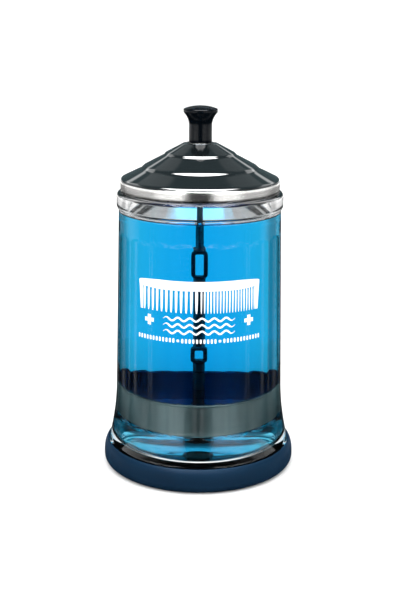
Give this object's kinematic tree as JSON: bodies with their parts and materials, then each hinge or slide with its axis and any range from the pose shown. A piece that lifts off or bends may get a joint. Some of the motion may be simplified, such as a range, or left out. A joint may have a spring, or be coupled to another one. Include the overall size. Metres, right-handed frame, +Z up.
{
  "type": "disinfectant jar",
  "caption": "Round glass soaking jar on a rubber base ring, with a stepped lift-off lid and a knobbed rod that raises a perforated steel basket through the lid.",
  "frame": {"origin": "centre of the base ring's underside, on the surface that the jar stands on", "axes": "+Z up along the jar's axis; the jar is round, and +X lies across the flat faces of the rod's slotted eyes"},
  "size_m": [0.1114, 0.1114, 0.2078],
  "materials": {
    "clear_glass": "gloss",
    "navy_rubber": "matte",
    "gasket_rubber": "matte",
    "black_enamel": "gloss",
    "brushed_band": "brushed",
    "bush_steel": "satin",
    "fastener_steel": "satin",
    "black_plastic": "gloss",
    "brass_insert": "satin",
    "rod_steel": "satin",
    "basket_steel": "brushed",
    "blue_solution": "gloss",
    "white_print": "satin"
  },
  "bodies": {
    "jar": {"glass_jar": "clear_glass", "base_ring": "navy_rubber"},
    "gasket": {"lid_gasket": "gasket_rubber"},
    "lid": {"lid_band": "brushed_band", "lid_dome": "black_enamel", "guide_bush": "bush_steel", "bush_washer": "fastener_steel", "bush_nut": "fastener_steel"},
    "slider": {"knob_washer": "fastener_steel"},
    "lift": {"knob": "black_plastic", "knob_insert": "brass_insert", "rod_upper": "rod_steel", "eye_upper": "rod_steel", "rod_middle": "rod_steel", "eye_lower": "rod_steel", "rod_lower": "rod_steel", "basket_wall": "basket_steel", "basket_rim": "basket_steel", "basket_floor": "basket_steel", "hub_washer": "fastener_steel", "hub_nut": "fastener_steel", "basket_foot": "black_plastic"}
  },
  "joints": [
    {"name": "lid_lift", "type": "slide", "parent": "jar", "child": "gasket", "axis": [0, 0, 1], "range_m": [0, 0.2]},
    {"name": "lid_turn", "type": "hinge", "parent": "gasket", "child": "lid", "pos_m": [0, 0, 0.1668], "axis": [0, 0, 1], "continuous": true},
    {"name": "basket_lift", "type": "slide", "parent": "lid", "child": "slider", "axis": [0, 0, 1], "range_m": [0, 0.053]},
    {"name": "basket_turn", "type": "hinge", "parent": "slider", "child": "lift", "pos_m": [0, 0, 0.1876], "axis": [0, 0, 1], "continuous": true}
  ]
}
